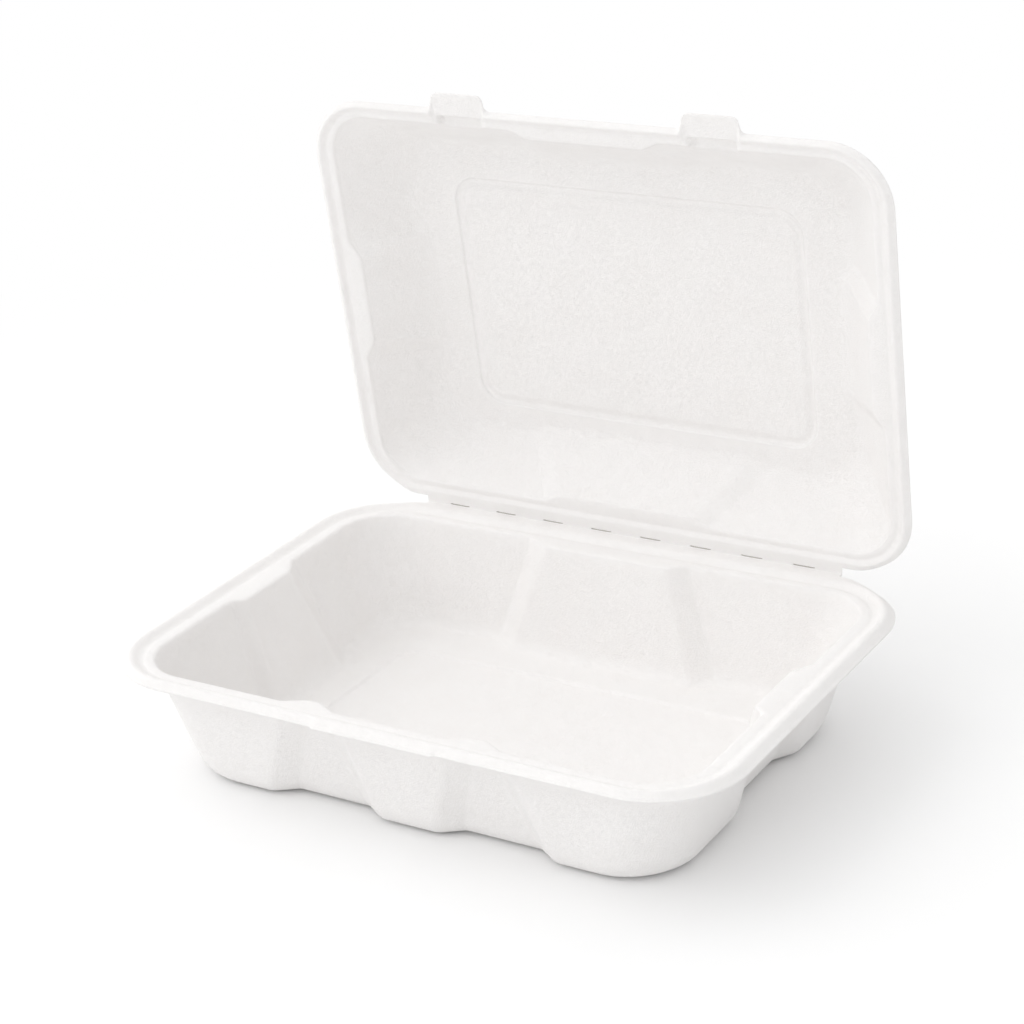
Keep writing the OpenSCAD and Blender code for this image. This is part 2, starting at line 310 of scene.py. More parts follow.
@dataclass
class PressedShell:
    """A shell of even thickness, lofted from its lip over its wall to its floor.

    Attributes:
        name: Name of the piece.
        size: Width and depth over the lip.
        corner: Corner radius of the lip.
        foot_corner: Corner radius at the foot of the wall.
        wall: Thickness of the sheet.
        rim: The rim's section.
        rim_z: Height of the bead's crest.
        floor_z: Height of the floor's upper side.
        draft: How far the wall leans in.
        fillet: Reach of the rounding at the foot.
        sides: The sides, by quarter turns.
        flute: Depth of the panels under the rim and at the foot.
        hinge: Side of the fold, where the lip lies flat.
        panel: Width, depth and corner radius of the field on the floor.
        panel_shift: How far that field lies off the middle.
        panel_bends: Rows of inset, height over the floor, and rounding, from its edge in.
        crease: Half width of the rounding along the creases.
        border: Flat strip of the floor beyond that rounding.
        corner_steps: Number of parts round each corner.
        spacing: Longest step along a side.
        lip_fade: Turn over which the lip rises to the flat hinge side, in degrees.
        edge_steps: Number of parts round the lip's edge.
        easing: How often the normals under the sheet are evened out.
        places: Stations along each side, worked out from the rest.
    """

    name: str
    size: tuple[float, float]
    corner: float
    foot_corner: float
    wall: float
    rim: Rim
    rim_z: float
    floor_z: float
    draft: float
    fillet: float
    sides: tuple[Side, ...]
    flute: tuple[float, float]
    hinge: Turn
    panel: tuple[float, float, float]
    panel_shift: float
    panel_bends: tuple[tuple[float, float, float], ...]
    crease: float = 1.3
    border: float = 0.25
    corner_steps: int = 22
    spacing: float = 2.6
    lip_fade: float = 34.0
    edge_steps: int = 3
    easing: int = 4
    places: list[list[tuple[int, float, float]]] = field(default_factory=list)

    def __post_init__(self) -> None:
        """Fits the sides' feet to the field and places the stations."""
        straight = [self.panel[1 - i % 2] / 2 - self.panel[2] - COLUMN_GAP for i in range(4)]
        self.sides = tuple(s.fitted(straight[i]) for i, s in enumerate(self.sides))
        self.places = [self._stations(i) for i in range(4)]

    def _ends(self, turn: int, loop: Loop) -> np.ndarray:
        """Places of a side's corners and creases on one loop.

        Args:
            turn: Number of the side.
            loop: The loop.

        Returns:
            Distances from the side's middle, in order.
        """
        along = loop.half[1 - turn % 2]
        before, after = loop.slack[(turn + 3) % 4], loop.slack[(turn + 1) % 4]
        straight = along - loop.inset - loop.corner
        creases = [k.rim + (k.foot - k.rim) * loop.fall for k in self.sides[turn].knots]
        return np.array([-straight - before, *creases, straight + after])

    def _stations(self, turn: int) -> list[tuple[int, float, float]]:
        """Chooses where the mesh's columns stand on one side.

        Args:
            turn: Number of the side.

        Returns:
            Rows of part, share of the way along it, and fixed offset.
        """
        top = self._wall_loop(0.0, self.rim_z, 0.0, False)
        ends = self._ends(turn, top)
        edge = np.concatenate([t.outline()[:, 0] for t in self.sides[turn].tongues] or [[]])
        made: list[tuple[int, float, float]] = []
        last = len(ends) - 2
        for j in range(last + 1):
            a, b = (0.0 if j == 0 else self.crease), (0.0 if j == last else self.crease)
            start, run = ends[j] + a, ends[j + 1] - b - ends[j] - a
            parts = max(1, math.ceil(run / self.spacing))
            shares = {k / parts for k in range(parts + 1)}
            extra = {float((u - start) / run) for u in edge if start < u < start + run}
            shares = {q for q in shares if all(abs(q - e) * run > 0.5 for e in extra)} | extra
            shares |= {0.0, 1.0}
            keep = sorted(q for q in shares if (j > 0 or q > 0) and (j < last or q < 1))
            made += [(j, q, a * (1 - q) - b * q) for q in keep]
            if j < last:
                made += [(j + 1, 0.0, self.crease * k / 2) for k in (-1, 0, 1)]
        return made

    def _wall_loop(self, inset: float, z: float, depth_share: float, floor: bool) -> Loop:
        """One loop of the rim or the wall.

        Args:
            inset: Inset from the lip.
            z: Height of the line.
            depth_share: Share of the panels' depth that applies.
            floor: Whether the line lies on the floor.

        Returns:
            The loop.
        """
        w = self.rim.width
        top = self.rim_z - WALL_TOP * self.rim.dip
        fall = 1.0 if floor else min(1.0, max(0.0, (top - z) / (top - self.floor_z)))
        on_rim = min(inset, w)
        slack = tuple((1 - s.rim_share) * on_rim - s.lean * fall for s in self.sides)
        spare = (self.sides[0].rim_share - self.sides[1].rim_share) * on_rim / 2
        corner = self.corner - on_rim + spare
        if inset > w:
            corner += (self.foot_corner - corner) * fall
        depth = depth_share * (self.flute[0] + (self.flute[1] - self.flute[0]) * fall)
        half = (self.size[0] / 2, self.size[1] / 2)
        return Loop(half, inset, z, corner, fall, depth, slack, True)

    def _line(self, loop: Loop) -> np.ndarray:
        """The points of one loop, counter-clockwise from the +X side.

        Args:
            loop: The loop.

        Returns:
            Rows of x, y and z.
        """
        rim_w, crest = self.rim.width, self.rim.CREST * self.rim.width
        on_lip = loop.on_wall and loop.inset < crest
        lip = max(0.0, 1 - loop.inset / crest)
        made = []
        for turn, side in enumerate(self.sides):
            out = loop.half[turn % 2] + loop.slack[turn] - loop.inset
            along = loop.half[1 - turn % 2]
            ends = self._ends(turn, loop)
            part, share, offset = (np.array(v) for v in zip(*self.places[turn]))
            u = (1 - share) * ends[part] + share * ends[part + 1] + offset
            z = np.full(len(u), loop.height)
            o = out - loop.depth * self._panel(side, ends[1:-1], u)
            if turn == self.hinge.value and on_lip:
                z[:] = self.rim_z
            for tongue in side.tongues if loop.on_wall else ():
                edge = tongue.outline()
                o = o + lip * np.interp(u, edge[:, 0], edge[:, 1])
                z = self._tongue_height(tongue, u, z, loop.inset / rim_w)
            made.append(self._turned(turn, o, u, z))
            made.append(self._corner(turn, loop, out, along, on_lip))
        return np.concatenate(made)

    def _panel(self, side: Side, at: np.ndarray, u: np.ndarray) -> np.ndarray:
        """Share of the panels' depth along a side, with its creases rounded.

        Args:
            side: The side.
            at: Places of its creases.
            u: Places where it is read.

        Returns:
            Values from 0 to 1.
        """
        level = np.array([0.0, *[k.share for k in side.knots], 0.0])
        run = np.diff(np.array([at[0] - 1, *at, at[-1] + 1]))
        slope = np.diff(level) / run
        total = np.zeros(len(u))
        for place, change in zip(at, np.diff(slope)):
            total += change * soft_ramp(u - place, self.crease)
        return total

    def _tongue_height(self, tongue: Tongue, u: np.ndarray, z: np.ndarray, across: float) -> np.ndarray:
        """Lays the rim flat under a tab and presses the pocket behind it.

        Args:
            tongue: The tab.
            u: Places along the side.
            z: Heights without the tab.
            across: Place across the rim, 0 at the lip and 1 at the wall.

        Returns:
            Heights with the tab.
        """
        if not tongue.sink:
            return z
        off = np.abs(u - tongue.middle)
        plate = 1 - smooth(off, tongue.half - PLATE_FADE, tongue.half + tongue.flare)
        flat = self.rim_z - tongue.sink
        on_plate = plate * (1 - smooth(np.array(across), *PLATE_END))
        z = z + (flat - z) * on_plate
        pocket = 1 - smooth(off, *(tongue.half - inside for inside in POCKET_WALL))
        low = flat - tongue.pocket
        into = pocket * smooth(np.array(across), *POCKET_START)
        return np.where(z > low, z + (low - z) * into, z)

    def _corner(self, turn: int, loop: Loop, out: float, along: float, on_lip: bool) -> np.ndarray:
        """The corner after one side.

        Args:
            turn: Number of the side.
            loop: The loop.
            out: Distance of the side from the middle.
            along: Half of the outline along the side.
            on_lip: Whether the loop lies between the lip and the bead's crest.

        Returns:
            Rows of x, y and z.
        """
        after = (turn + 1) % 4
        angle = np.linspace(0, 90, self.corner_steps + 1)
        z = np.full(len(angle), loop.height)
        if on_lip and self.hinge.value in (turn, after):
            near = angle if turn == self.hinge.value else 90 - angle
            z += (self.rim_z - z) * (1 - smooth(near, 0.0, self.lip_fade))
        a = np.radians(angle)
        x = out - loop.corner + loop.corner * np.cos(a)
        y = along + loop.slack[after] - loop.inset - loop.corner + loop.corner * np.sin(a)
        return self._turned(turn, x, y, z)

    @staticmethod
    def _turned(turn: int, out: np.ndarray, along: np.ndarray, z: np.ndarray) -> np.ndarray:
        """Places points of a side by its quarter turn.

        Args:
            turn: Number of the side.
            out: Distances out of the side.
            along: Distances along the side.
            z: Heights.

        Returns:
            Rows of x, y and z.
        """
        c, s = round(math.cos(turn * math.pi / 2)), round(math.sin(turn * math.pi / 2))
        return np.stack([out * c - along * s, out * s + along * c, z], 1)

    def skin(self) -> np.ndarray:
        """The upper side as a grid of loops and stations, from the lip inwards.

        Returns:
            An array of loops by stations by 3.
        """
        rim = [(u, z + self.rim_z, e, r) for u, z, e, r in self.rim.bends()]
        rim[0] = (self.wall / 2, *rim[0][1:])
        foot = (self.rim.width + self.draft, self.floor_z, 1.0, self.fillet)
        border = (foot[0] + self.fillet + self.border, self.floor_z, 1.0, 0.0)
        bends = [*rim, foot, border]
        reach = [b[3] for b in bends]
        path = rounded_path(np.array([b[:3] for b in bends]), reach, 6, 3.0)
        on_floor = foot[0] + self.fillet - 0.01
        loops = [self._wall_loop(u, z, e, bool(u > on_floor)) for u, z, e in path]
        lines = [self._line(loop) for loop in loops]
        width, depth, corner = self.panel
        bends = self.panel_bends
        path = rounded_path(np.array([b[:2] for b in bends]), [b[2] for b in bends], 5, 1.5)
        shift = np.array([0.0, self.panel_shift, 0.0])
        inner = [self._line(Loop((width / 2, depth / 2), u, self.floor_z + z, corner - u, 1.0)) + shift
                 for u, z in path]
        bridge = [lines[-1] + (inner[0] - lines[-1]) * k / 5 for k in range(1, 5)]
        middle = np.array([0.0, self.panel_shift, inner[-1][0][2]])
        core = [middle + (inner[-1] - middle) * k for k in CORE_SHARES]
        return np.array([*lines, *bridge, *inner, *core])

    @staticmethod
    def _normals(grid: np.ndarray) -> np.ndarray:
        """Unit normals of a grid of loops, on its upper side."""
        around = np.roll(grid, -1, 1) - np.roll(grid, 1, 1)
        inward = np.gradient(grid, axis=0)
        n = np.cross(around, inward)
        return n / np.linalg.norm(n, axis=2, keepdims=True)

    def _eased(self, normals: np.ndarray) -> np.ndarray:
        """Evens the normals out along both directions of the grid.

        Args:
            normals: Unit normals of a grid of loops.

        Returns:
            Normals that turn gently enough for the underside not to fold in tight creases.
        """
        n = normals
        for _ in range(self.easing):
            p = np.concatenate([n[:1], n, n[-1:]])
            n = (p[:-2] + 2 * p[1:-1] + p[2:]) / 4
            n = (np.roll(n, 1, 1) + 2 * n + np.roll(n, -1, 1)) / 4
            n = n / np.linalg.norm(n, axis=2, keepdims=True)
        return n

    def mesh(self, place: Matrix) -> bpy.types.Mesh:
        """Builds the closed sheet.

        Args:
            place: Where the shell's own frame lies in the row frame, in millimetres.

        Returns:
            The mesh, in metres.
        """
        upper = self.skin()
        lower = upper - self._eased(self._normals(upper)) * self.wall
        middle = (upper[0] + lower[0]) / 2
        arm = (upper[0] - lower[0]) / 2
        out = upper[0] - upper[1]
        out -= arm * np.sum(out * arm, 1, keepdims=True) / np.sum(arm * arm, 1, keepdims=True)
        out *= self.wall / 2 / np.linalg.norm(out, axis=1, keepdims=True)
        edge = [middle + arm * math.cos(a) + out * math.sin(a)
                for a in (math.pi * k / (self.edge_steps + 1) for k in range(1, self.edge_steps + 1))]
        rows = np.concatenate([upper[::-1], np.array(edge), lower])
        ends = [upper[-1].mean(0), lower[-1].mean(0)]
        return lofted_mesh(self.name, rows, ends, place)


def lofted_mesh(name: str, rows: np.ndarray, ends: list[np.ndarray], place: Matrix) -> bpy.types.Mesh:
    """Makes a closed mesh from closed rows of points.

    Args:
        name: Name of the mesh.
        rows: Rows by points by 3, in millimetres.
        ends: The points that close the first and the last row.
        place: Matrix to the row frame, in millimetres.

    Returns:
        A smooth-shaded mesh in metres.
    """
    count, m = rows.shape[:2]
    points = np.concatenate([rows.reshape(-1, 3), np.array(ends)])
    turn, move = np.array(place)[:3, :3], np.array(place)[:3, 3]
    points = (points @ turn.T + move) * MM
    k, j = np.meshgrid(np.arange(count - 1), np.arange(m), indexing="ij")
    a, b = k * m + j, k * m + (j + 1) % m
    quads = np.stack([a, a + m, b + m, b], -1).reshape(-1, 4).tolist()
    ring = np.arange(m)
    first, last = count * m, (count - 1) * m
    fans = [[first, int(i), int((i + 1) % m)] for i in ring]
    fans += [[first + 1, int(last + (i + 1) % m), int(last + i)] for i in ring]
    mesh = bpy.data.meshes.new(name)
    mesh.from_pydata(points.tolist(), [], quads + fans)
    mesh.shade_smooth()
    mesh.update()
    return mesh


def new_piece(name: str, mesh: bpy.types.Mesh, material: bpy.types.Material) -> bpy.types.Object:
    """Makes an object of a mesh and links it.

    Args:
        name: Name of the piece.
        mesh: Its mesh.
        material: Its material.

    Returns:
        The object.
    """
    piece = bpy.data.objects.new(name, mesh)
    mesh.materials.append(material)
    bpy.context.scene.collection.objects.link(piece)
    return piece


# The sub-assemblies


@dataclass
class Tray:
    """The fluted tray, which stands on the table.

    Attributes:
        width: Width over the lip.
        depth: Depth over the lip.
        height: Height of the bead's crest.
        corner: Corner radius of the lip.
        foot_corner: Corner radius at the foot of the wall.
        wall: Thickness of the sheet.
        draft: How far the walls lean in.
        end_lean: How much farther the end walls lean in.
        back_lean: How much farther the back wall leans in.
        fillet: Reach of the rounding at the foot.
        rim_w: Width of the rim.
        rim_share: Share of that width on the long sides.
        lip_drop: Height of the bead over the lip.
        channel: Depth of the channel behind the bead.
        land: How far the front land stands out.
        flute: Depth of the recesses under the rim and at the foot.
        facet: Width of the slope beside a recess.
        front_mid: Edge of the middle standing part, at the rim and at the foot.
        front_recess: Far edge of the front recesses, at the rim and at the foot.
        back_panel: Edge of the back recess, at the rim and at the foot.
        end_front: The front edge of the end recesses, with its facet.
        end_back: Their back edge, with its facet.
        field_margin: Distance of the floor's field from the lip, at the ends and the long sides.
        field_corner: Corner radius of that field.
        field_step: Depth of the field.
        field_slope: Width of the step round it.
    """

    width: float = 230.0
    depth: float = 161.0
    height: float = 42.5
    corner: float = 30.0
    foot_corner: float = 22.0
    wall: float = 0.9
    draft: float = 5.0
    end_lean: float = 5.0
    back_lean: float = 1.5
    fillet: float = 6.2
    rim_w: float = 13.2
    rim_share: float = 0.78
    lip_drop: float = 2.0
    channel: float = 1.7
    land: float = 1.1
    flute: tuple[float, float] = (4.4, 5.2)
    facet: float = 7.8
    front_mid: tuple[float, float] = (21.0, 10.0)
    front_recess: tuple[float, float] = (33.5, 47.0)
    back_panel: tuple[float, float] = (24.5, 36.5)
    end_front: tuple[float, float, float] = (13.2, 14.6, 3.0)
    end_back: tuple[float, float, float] = (12.8, 21.4, 7.8)
    field_margin: tuple[float, float] = (42.5, 37.0)
    field_corner: float = 9.0
    field_step: float = 0.8
    field_slope: float = 1.2

    def _front(self) -> Side:
        """The front side: two recesses between three standing parts, and the land."""
        f = self.facet
        half = [Knot(self.front_mid[0], self.front_mid[1]),
                Knot(self.front_mid[0] + f, self.front_mid[1] + f, 1.0),
                Knot(self.front_recess[0], self.front_recess[1], 1.0),
                Knot(self.front_recess[0] + f, self.front_recess[1] + f)]
        mirrored = [Knot(-k.rim, -k.foot, k.share) for k in reversed(half)]
        land = Tongue(0.0, self.front_mid[0] + 1.0, flare=1.6, reach=self.land, corner=0.8, root=0.8)
        return Side((*mirrored, *half), self.rim_share, 0.0, (land,))

    def shell(self) -> PressedShell:
        """The tray's pressed sheet.

        Returns:
            The shell, in the row frame.
        """
        back_edge = (*self.back_panel, self.facet)
        sides = (
            Side(panel_knots(self.end_front, self.end_back), 1.0, self.end_lean),
            Side(panel_knots(back_edge, back_edge), self.rim_share, self.back_lean),
            Side(panel_knots(self.end_back, self.end_front), 1.0, self.end_lean),
            self._front(),
        )
        panel = (self.width - 2 * self.field_margin[0], self.depth - 2 * self.field_margin[1],
                 self.field_corner)
        slope, down = self.field_slope, -self.field_step
        step = ((-1.6, 0.0, 0.0), (0.0, 0.0, 0.65), (slope, down, 0.65), (3.6, down, 0.0))
        return PressedShell(
            name="tray_shell", size=(self.width, self.depth), corner=self.corner,
            foot_corner=self.foot_corner, wall=self.wall,
            rim=Rim(self.rim_w, self.lip_drop, self.channel), rim_z=self.height,
            floor_z=self.wall + self.field_step, draft=self.draft, fillet=self.fillet,
            sides=sides, flute=self.flute, hinge=Turn.AWAY,
            panel=panel, panel_shift=0.0, panel_bends=step,
        )

    def build(self, material: bpy.types.Material) -> bpy.types.Object:
        """Builds the tray and sets it on its body.

        Args:
            material: The pulp finish.

        Returns:
            The piece.
        """
        piece = new_piece("tray_shell", self.shell().mesh(Matrix.Identity(4)), material)
        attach(piece, Body.TRAY.value)
        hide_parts("tray")
        return piece


@dataclass
class Lid:
    """The shallower lid, which stands open on the fold.

    Attributes:
        inset: How far its ends stand inside the tray's.
        front_inset: How much less deep it is than the tray.
        height: Depth of the pressed lid.
        corner: Corner radius of the lip.
        foot_corner: Corner radius at the foot of the wall.
        wall: Thickness of the sheet.
        draft: How far the walls lean in.
        end_lean: How much farther the end walls lean in.
        back_lean: How much farther the wall at the hinge leans in.
        fillet: Reach of the rounding at the foot.
        rim_w: Width of the rim.
        rim_share: Share of that width on the long sides.
        lip_drop: Height of the bead over the lip.
        channel: Depth of the channel behind the bead.
        flute: Depth of the recesses.
        flute_share: Share of that depth on the long sides.
        facet: Width of the slope beside a recess.
        front_panel: Edge of the front recess, at the rim and at the foot.
        back_panel: Edge of the recess at the hinge, at the rim and at the foot.
        end_panel: Edge of the end recesses, at the rim and at the foot.
        bead_margin: Distance of the groove from the lip, at the ends and the long sides.
        bead_corner: Corner radius of the groove.
        bead_shift: How far the groove lies towards the hinge.
        bead_h: Depth of the groove.
        bead_wide: Width of the groove.
        tab_x: Distance of a tab from the middle.
        tab_w: Width of a tab.
        tab_reach: How far a tab stands out.
        tab_sink: Depth of a tab below the crest of the bead.
        tab_pocket: Depth of the pressed pocket behind a tab.
    """

    inset: float = 4.5
    front_inset: float = 7.0
    height: float = 22.5
    corner: float = 22.0
    foot_corner: float = 20.0
    wall: float = 0.75
    draft: float = 12.5
    end_lean: float = 3.5
    back_lean: float = 1.0
    fillet: float = 6.9
    rim_w: float = 8.4
    rim_share: float = 0.74
    lip_drop: float = 1.4
    channel: float = 1.3
    flute: float = 4.0
    flute_share: float = 0.7
    facet: float = 6.4
    front_panel: tuple[float, float] = (22.0, 29.0)
    back_panel: tuple[float, float] = (27.0, 41.0)
    end_panel: tuple[float, float] = (16.5, 21.0)
    bead_margin: tuple[float, float] = (42.0, 32.0)
    bead_corner: float = 10.0
    bead_shift: float = 1.2
    bead_h: float = 0.9
    bead_wide: float = 4.6
    tab_x: float = 48.0
    tab_w: float = 19.5
    tab_reach: float = 6.2
    tab_sink: float = 1.4
    tab_pocket: float = 2.4

    def shell(self, tray: Tray) -> PressedShell:
        """The lid's pressed sheet, as it lies open and flat in its own frame.

        Args:
            tray: The tray that it covers.

        Returns:
            The shell.
        """
        size = (tray.width - 2 * self.inset, tray.depth - self.front_inset)
        f = self.facet
        tabs = tuple(Tongue(s * self.tab_x, self.tab_w / 2, flare=1.5, reach=self.tab_reach,
                            corner=2.6, root=1.7, sink=self.tab_sink, pocket=self.tab_pocket)
                     for s in (-1, 1))
        ends = Side(panel_knots((*self.end_panel, f), (*self.end_panel, f)), 1.0, self.end_lean)
        front = Side(panel_knots((*self.front_panel, f), (*self.front_panel, f), self.flute_share),
                     self.rim_share, 0.0, tabs)
        back = Side(panel_knots((*self.back_panel, f), (*self.back_panel, f), self.flute_share),
                    self.rim_share, self.back_lean)
        panel = (size[0] - 2 * self.bead_margin[0], size[1] - 2 * self.bead_margin[1],
                 self.bead_corner)
        w, h = self.bead_wide, self.bead_h
        groove = ((-0.25, 0.0, 0.0), (0.35, 0.0, 0.3), (0.29 * w, -h, 0.62), (0.54 * w, -h, 0.62),
                  (w, 0.0, 1.0), (1.5 * w, 0.0, 0.0))
        return PressedShell(
            name="lid_shell", size=size, corner=self.corner,
            foot_corner=self.foot_corner, wall=self.wall,
            rim=Rim(self.rim_w, self.lip_drop, self.channel), rim_z=0.0,
            floor_z=self.wall - self.height, draft=self.draft, fillet=self.fillet,
            sides=(ends, front, ends, back), flute=(self.flute, self.flute), hinge=Turn.NEAR,
            panel=panel, panel_shift=-self.bead_shift, panel_bends=groove,
        )

    def build(self, tray: Tray, fold: "Fold", material: bpy.types.Material) -> bpy.types.Object:
        """Builds the lid open and sets it on its body.

        Args:
            tray: The tray that it covers.
            fold: The fold that it turns on.
            material: The pulp finish.

        Returns:
            The piece.
        """
        shell = self.shell(tray)
        middle = fold.lid_reach + shell.size[1] / 2
        place = fold.lid_frame() @ Matrix.Translation((0.0, middle, -fold.gap))
        piece = new_piece("lid_shell", shell.mesh(place), material)
        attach(piece, Body.LID.value)
        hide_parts("lid")
        return piece


@dataclass
class Fold:
    """The perforated web between the two rims.

    Attributes:
        width: Length of the web along the crease.
        tray_reach: Distance from the tray's rim to the crease.
        lid_reach: Distance from the crease to the lid's rim.
        thickness: Thickness of the web.
        gap: Clearance on each side of the crease.
        seat: How far the web reaches back inside each rim.
        level: Depth of the web's upper side below the crests.
        slits: Number of slits.
        pitch: Distance between slits.
        slit: Length and width of a slit.
        slit_at: How far the slits lie from the crease, on the lid's side.
        slit_close: Share of the slit's width that stays open half-way through the sheet.
        open_deg: Angle of the open lid, counted from shut.
        rows: Number of parts across each side of the web.
    """

    tray: Tray
    width: float = 168.0
    tray_reach: float = 1.6
    lid_reach: float = 2.2
    thickness: float = 0.65
    gap: float = 0.15
    seat: float = 1.4
    level: float = 0.05
    slits: int = 8
    pitch: float = 20.0
    slit: tuple[float, float] = (8.6, 0.6)
    slit_at: float = 0.8
    slit_close: float = 0.2
    open_deg: float = 84.0
    rows: int = 10

    def axis(self) -> Vector:
        """A point of the crease, in millimetres."""
        return Vector((0.0, self.tray.depth / 2 + self.tray_reach, self.tray.height + self.gap))

    def lid_frame(self) -> Matrix:
        """The frame in which the lid lies flat, with its crease along X."""
        turn = math.radians(180 - self.open_deg)
        return Matrix.Translation(self.axis()) @ Matrix.Rotation(turn, 4, "X")

    def _columns(self) -> list[tuple[float, float]]:
        """Places along the crease and half the slit's width there.

        Returns:
            Rows of place and half width, from end to end.
        """
        long, half = self.slit[0] / 2, self.slit[1] / 2
        first = -(self.slits - 1) / 2 * self.pitch
        end = self.width / 2
        made = {(side * (end - r), 0.0) for side in (-1, 1) for r in (0.0, 0.5, 1.0, 2.0)}
        for mid in (first + i * self.pitch for i in range(self.slits)):
            for x in (math.sin(t * math.pi / 2) for t in np.linspace(-1, 1, 17)):
                made.add((round(mid + x * long, 4), half * (1 - x ** 8)))
            if mid + self.pitch < end:
                rest = self.pitch - 2 * long
                made |= {(round(mid + long + rest * k / 5, 4), 0.0) for k in range(1, 5)}
        return sorted(made)

    def _bent(self, x: float, s: float, share: float) -> tuple[float, float, float]:
        """Bends a point of the flat web round the crease.

        Args:
            x: Place along the crease.
            s: Distance across the web, below 0 on the tray's side.
            share: 0 on the upper side and 1 on the underside.

        Returns:
            The point, in metres.
        """
        bend, depth = self.bend(), self.gap + self.level + self.thickness * share
        at, arc = self.axis(), self.arc()
        turn = min(1.0, max(0.0, s / arc + 0.5)) * bend
        over = s - (turn / bend - 0.5) * arc
        c, d = math.cos(turn), math.sin(turn)
        return (x * MM, (at.y + depth * d + over * c) * MM, (at.z - depth * c + over * d) * MM)

    def bend(self) -> float:
        """Angle through which the web bends while the lid stands open."""
        return math.radians(180 - self.open_deg)

    def arc(self) -> float:
        """Length of the bent part, half-way through the sheet."""
        return (self.gap + self.level + self.thickness / 2) * self.bend()

    def _half(self, side: int, verts: list, skin: list, slit_shade: list) -> None:
        """Adds the part of the web on one side of the slits.

        Args:
            side: -1 for the tray's part and 1 for the lid's.
            verts: Points of the web, added to.
            skin: Faces of its skins and ends, added to.
            slit_shade: Faces of the slits' cut edges, which take the dark painted shade, added to.
        """
        columns, rows, base = self._columns(), self.rows, len(verts)
        reach = self.tray_reach if side < 0 else self.lid_reach
        far = side * (reach + self.seat + self.arc() / 2)
        for x, half in columns:
            near = self.slit_at + side * half
            for r in range(rows + 1):
                s = far + (near - far) * r / rows
                verts += [self._bent(x, s, 0.0), self._bent(x, s, 1.0)]
            verts.append(self._bent(x, self.slit_at + side * half * self.slit_close, 0.5))
        step = 2 * rows + 3

        def add(faces: list, face: list[int]) -> None:
            """Adds a face, turned to its side."""
            faces.append(face if side > 0 else face[::-1])

        for c in range(len(columns) - 1):
            for a in (base + c * step + 2 * r for r in range(rows)):
                add(skin, [a, a + 2, a + step + 2, a + step])
                add(skin, [a + step + 1, a + step + 3, a + 3, a + 1])
            a = base + c * step
            add(skin, [a, a + step, a + step + 1, a + 1])
            if columns[c][1] > 0 or columns[c + 1][1] > 0:
                a = base + c * step + 2 * rows
                add(slit_shade, [a, a + 2, a + step + 2, a + step])
                add(slit_shade, [a + 2, a + 1, a + step + 1, a + step + 2])
        for a in (base + 2 * r for r in range(rows)):
            add(skin, [a, a + 1, a + 3, a + 2])
            z = a + (len(columns) - 1) * step
            add(skin, [z + 2, z + 3, z + 1, z])

    def build(self, material: bpy.types.Material, slit_shade_material: bpy.types.Material) -> bpy.types.Object:
        """Builds the web with real slits and bends it; the web reaches back inside both rims over the joint.

        Args:
            material: The pulp finish.
            slit_shade_material: Dark painted shade for the slits' cut edges, standing in for the shadow
                inside each slit.

        Returns:
            The piece.
        """
        verts: list[tuple[float, float, float]] = []
        skin: list[list[int]] = []
        slit_shade: list[list[int]] = []
        self._half(-1, verts, skin, slit_shade)
        self._half(1, verts, skin, slit_shade)
        mesh = bpy.data.meshes.new("fold_web")
        mesh.from_pydata(verts, [], skin + slit_shade)
        piece = new_piece("fold_web", mesh, material)
        # The slits' edges take the dark painted shade, which stands in for the shadow inside each narrow
        # slit.
        mesh.materials.append(slit_shade_material)
        for face in mesh.polygons[len(skin):]:
            face.material_index = 1
        weld(mesh, 2e-6)
        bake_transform(piece)
        return piece


def weld(mesh: bpy.types.Mesh, distance: float) -> None:
    """Joins the mesh's coincident points and turns its faces outwards.

    Args:
        mesh: The mesh.
        distance: Distance under which points are one, in metres.
    """
    work = bmesh.new()
    work.from_mesh(mesh)
    bmesh.ops.remove_doubles(work, verts=work.verts, dist=distance)
    bmesh.ops.recalc_face_normals(work, faces=work.faces)
    work.to_mesh(mesh)
    work.free()
    mesh.shade_smooth()
    mesh.set_sharp_from_angle(angle=math.radians(50))
    mesh.update()


# Finishes


class Board:
    """A node tree with short ways to add and join nodes."""

    def __init__(self, tree: bpy.types.NodeTree) -> None:
        """Keeps the tree and empties it."""
        self.tree = tree
        tree.nodes.clear()

    def add(self, kind: str, sockets: dict[str, object] | None = None, **settings: object) -> bpy.types.Node:
        """Adds a node.

        Args:
            kind: The node's type, without its common start.
            sockets: Input values or sources by the input's name or number.
            **settings: Properties of the node.

        Returns:
            The node.
        """
        node = self.tree.nodes.new("ShaderNode" + kind)
        for key, value in settings.items():
            setattr(node, key, value)
        for key, value in (sockets or {}).items():
            if isinstance(value, bpy.types.NodeSocket):
                self.tree.links.new(value, node.inputs[key])
            else:
                node.inputs[key].default_value = value
        return node

    def math(self, how: str, a: object, b: object = 0.0, clamp: bool = False) -> bpy.types.NodeSocket:
        """Adds one step of arithmetic and returns its output."""
        return self.add("Math", {0: a, 1: b}, operation=how, use_clamp=clamp).outputs[0]

    def ramp(self, value: object, low: float, high: float, to_low: float = 0.0,
             to_high: float = 1.0) -> bpy.types.NodeSocket:
        """Maps a value smoothly from one range to another and returns the output."""
        node = self.add("MapRange", {"Value": value, "From Min": low, "From Max": high,
                                     "To Min": to_low, "To Max": to_high},
                        interpolation_type="SMOOTHSTEP")
        return node.outputs["Result"]


class GroupName(Enum):
    """Names of the shared shader groups."""

    FIBRE = "pressed_fibre"
    BLOTCH = "pulp_blotch"


